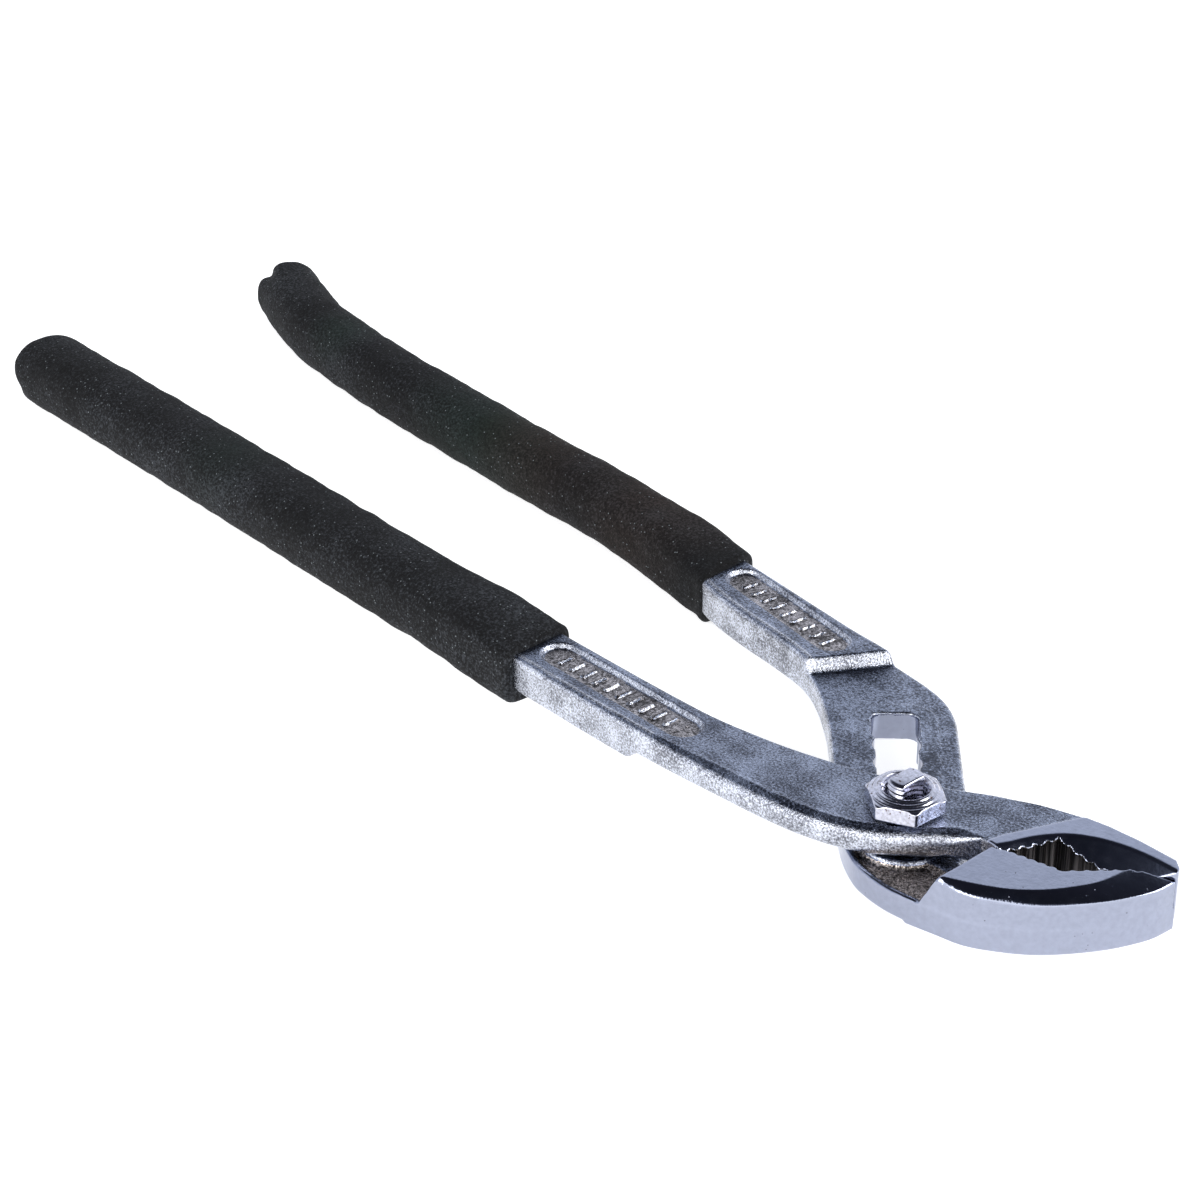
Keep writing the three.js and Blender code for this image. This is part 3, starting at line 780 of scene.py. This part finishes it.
def grip(name, line, size, skew, dents, seed, paint):
    """A thick lumpy sleeve along a centre line: squarer at the collar, blunt and dented at the end."""
    width, height = size
    path = curve(line, 40)
    length = np.concatenate([[0], np.cumsum(np.linalg.norm(np.diff(path, axis=0), axis=1))])
    total = length[-1]
    ease = np.sin(np.linspace(0, np.pi / 2, 14)) ** 2
    tip_start = total - TIP_LENGTH
    stations = np.concatenate([COLLAR_LENGTH * ease[:-1], np.arange(COLLAR_LENGTH, tip_start, STATION_STEP),
                               tip_start + TIP_LENGTH * ease])
    angles = 2 * np.pi * np.arange(SIDES) / SIDES
    vertices = []
    for s in stations:
        t = max(min(s, total - 0.01), 0.01)
        centre = np.array([np.interp(t, length, path[:, m]) for m in range(3)])
        ahead = np.array([np.interp(t + 0.5, length, path[:, m]) for m in range(3)])
        behind = np.array([np.interp(t - 0.5, length, path[:, m]) for m in range(3)])
        tangent = (ahead - behind) / np.linalg.norm(ahead - behind)
        across = np.cross([0, 0, 1], tangent)
        across /= np.linalg.norm(across)
        square = mix(4.0, 2.35, smooth(0, 25, s))
        lift = mix(COLLAR_HEIGHT, 1, smooth(0, 16, s))
        close_tip = 1 - (1 - min((total - s) / TIP_LENGTH, 1)) ** 3.2
        close_collar = 1 - (1 - min(s / COLLAR_LENGTH, 1)) ** 2
        scale = max(close_tip, 0) ** (1 / 4.5) * mix(0.86, 1, close_collar ** 0.5)
        for angle in angles:
            c, d = math.cos(angle), math.sin(angle)
            reach_side = math.copysign(abs(c) ** (2 / square), c) * width / 2
            reach_up = math.copysign(abs(d) ** (2 / square), d) * height / 2 * (lift if d > 0 else 1)
            lump = noise.noise(Vector((s / 4.6, 1.6 * c, 1.6 * d + seed))) * 0.17
            lump += noise.noise(Vector((s / 2.2, 4 * c, 4 * d + seed))) * 0.08
            sink = 0.0
            for dent_angle, dent_width, dent_length, depth in dents:
                turn = math.remainder(angle - dent_angle, 2 * math.pi) / dent_width
                sink += depth * math.exp(-turn * turn) * float(smooth(dent_length, 0, total - s))
            swell = scale * (1 + (lump * float(smooth(0, 6, s)) - sink) / (width / 2))
            point = centre + across * reach_side * swell + np.array([0, 0, reach_up * swell])
            point -= tangent * skew * c * (1 if c > 0 else 0.4) * float(smooth(12, 0, s))
            vertices.append((point[0], point[1], max(point[2], 0.0)))
    count = len(stations)
    faces = []
    for i in range(count - 1):
        for k in range(SIDES):
            n = (k + 1) % SIDES
            faces.append((i * SIDES + k, i * SIDES + n, (i + 1) * SIDES + n, (i + 1) * SIDES + k))
    faces.append(tuple(range(SIDES))[::-1])
    faces.append(tuple((count - 1) * SIDES + k for k in range(SIDES)))
    mesh = bpy.data.meshes.new(name)
    mesh.from_pydata((np.array(vertices) * MM).tolist(), [], faces)
    mesh.polygons.foreach_set("use_smooth", np.ones(len(faces), bool))
    mesh.materials.append(paint)
    return add_piece(mesh)


# ---------- building ----------

FINE = 0.22
FINE_ACROSS = 0.25
COARSE = 0.3
THREAD_GRID = 0.1
MARGIN = 0.8


def lever_grid(low_y, high_y):
    """A grid round a lever, finer in the jaws than in the handle."""
    x = np.concatenate([np.arange(-74 - MARGIN, 10, COARSE), np.arange(10, NOSE[0] + 1 + MARGIN, FINE)])
    y = np.arange(low_y, high_y, FINE_ACROSS)
    return Grid(x, y, np.arange(B_BOTTOM - MARGIN, TOP + MARGIN, FINE))


def pivot_grid(bottom, top):
    """A fine grid round the pivot, for threads."""
    around = np.arange(-6.6, 6.7, THREAD_GRID)
    return Grid(around, around, np.arange(bottom, top, THREAD_GRID))


def one_paint(centre, facing):
    return np.zeros(len(centre))


def stand_in(piece, node):
    """Puts a piece in the place of a node of the frame, riding on the same body."""
    body = frame["nodes"][node]["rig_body"]
    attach(piece, body)
    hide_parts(node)


def make_lever(name, node, grid, field, choose):
    stand_in(skin(name, grid, field(grid), LEVER_PAINTS, choose), node)


def make_fastener(name, node, grid, field):
    stand_in(skin(name, grid, field(grid), [STEEL], one_paint), node)


make_lever("forged_lever_a", "lever_a", lever_grid(-15, 19), lever_a_field, lever_a_paint)
make_lever("forged_lever_b", "lever_b", lever_grid(-12.5, 41), lever_b_field, lever_b_paint)
make_fastener("threaded_bolt", "pivot_bolt", pivot_grid(-0.4, BOLT_TOP + 0.4), bolt_field)
make_fastener("hex_nut", "pivot_nut", pivot_grid(NUT_BOTTOM - 0.4, NUT_TOP + 0.5), nut_field)

FOAM_A = foam_rubber("foam_a", STAINS_A)
FOAM_B = foam_rubber("foam_b", STAINS_B)
stand_in(grip("foam_grip_a", GRIP_LINE_A, GRIP_SIZE_A, COLLAR_SKEW_A, DENTS_A, 3, FOAM_A), "grip_a")
stand_in(grip("foam_grip_b", GRIP_LINE_B, GRIP_SIZE_B, COLLAR_SKEW_B, DENTS_B, 8, FOAM_B), "grip_b")

# ---------- stage, light and camera ----------

# Walls of the studio by height, from the horizon up to the ceiling.
WALL_BEHIND = [(0.0, (1.0, 1.04, 1.15)), (0.56, (1.0, 1.06, 1.18)), (0.66, (0.35, 0.38, 0.45)),
               (0.76, (0.04, 0.045, 0.06)), (1.0, (0.02, 0.02, 0.03))]
WALL_BEFORE = [(0.0, (1.5, 1.5, 1.52)), (0.58, (2.2, 2.2, 2.2)), (0.68, (0.3, 0.32, 0.38)),
               (0.74, (0.025, 0.03, 0.045)), (1.0, (0.015, 0.015, 0.02))]
BRIGHT_SIDE = (0.87, -0.5, 0.0)

CAMERA_AZIMUTH = math.radians(46.95)
CAMERA_ELEVATION = math.radians(30)
CAMERA_TARGET = Vector((-88.17, 23.74, -0.6)) * MM
CAMERA_DISTANCE = 0.526


def make_floor():
    """A white table that is lit from within, as for a product photograph."""
    paint = Paint("lit_white_table", Roughness=0.7, Emission_Color=(1, 1, 1, 1), Emission_Strength=0.75)
    paint.feed(paint.ramp(paint.noise(400, 2), (0.3, 0.80), (0.7, 0.82)), "Base Color")
    bpy.ops.mesh.primitive_plane_add(size=6, location=(0, 0, 0))
    floor = bpy.context.object
    floor.name = "floor"
    floor.data.materials.append(paint.material)


def make_world():
    """A studio dome: bright walls in front and to the right, blue-grey ones behind, a dark ceiling."""
    world = bpy.data.worlds.new("studio")
    world.use_nodes = True
    tree = world.node_tree
    place = tree.nodes.new("ShaderNodeTexCoord").outputs["Generated"]
    height = tree.nodes.new("ShaderNodeSeparateXYZ")
    tree.links.new(place, height.inputs["Vector"])
    ahead = tree.nodes.new("ShaderNodeVectorMath")
    ahead.operation = "DOT_PRODUCT"
    ahead.inputs[1].default_value = BRIGHT_SIDE
    tree.links.new(place, ahead.inputs[0])

    behind = color_ramp(tree, height.outputs["Z"], WALL_BEHIND)
    before = color_ramp(tree, height.outputs["Z"], WALL_BEFORE)
    blend = tree.nodes.new("ShaderNodeMix")
    blend.data_type = "RGBA"
    tree.links.new(color_ramp(tree, ahead.outputs["Value"], [(0.0, 0), (0.35, 1)]), blend.inputs["Factor"])
    tree.links.new(behind, blend.inputs[6])
    tree.links.new(before, blend.inputs[7])
    tree.links.new(blend.outputs[2], tree.nodes["Background"].inputs["Color"])
    bpy.context.scene.world = world


def make_light(name, place, size, power):
    """A square soft box that faces the origin."""
    light = bpy.data.lights.new(name, "AREA")
    light.shape = "SQUARE"
    light.size = size
    light.energy = power
    lamp = bpy.data.objects.new(name, light)
    lamp.location = place
    lamp.rotation_euler = (-Vector(place)).to_track_quat("-Z", "Y").to_euler()
    bpy.context.scene.collection.objects.link(lamp)


def make_camera():
    outward = math.cos(CAMERA_ELEVATION)
    back = Vector((math.sin(CAMERA_AZIMUTH) * outward, -math.cos(CAMERA_AZIMUTH) * outward,
                   math.sin(CAMERA_ELEVATION)))
    camera = bpy.data.objects.new("camera", bpy.data.cameras.new("camera"))
    camera.data.lens = 96
    camera.data.sensor_width = 36
    camera.data.clip_start = 0.01
    camera.location = CAMERA_TARGET + back * CAMERA_DISTANCE
    camera.rotation_euler = back.to_track_quat("Z", "Y").to_euler()
    bpy.context.scene.collection.objects.link(camera)
    bpy.context.scene.camera = camera


make_floor()
make_world()
make_light("key", (0.75, 0.5, 0.5), 0.5, 5)
make_light("fill", (0.1, -0.95, 0.45), 0.5, 3)
make_camera()
bpy.context.scene.view_settings.view_transform = "Standard"
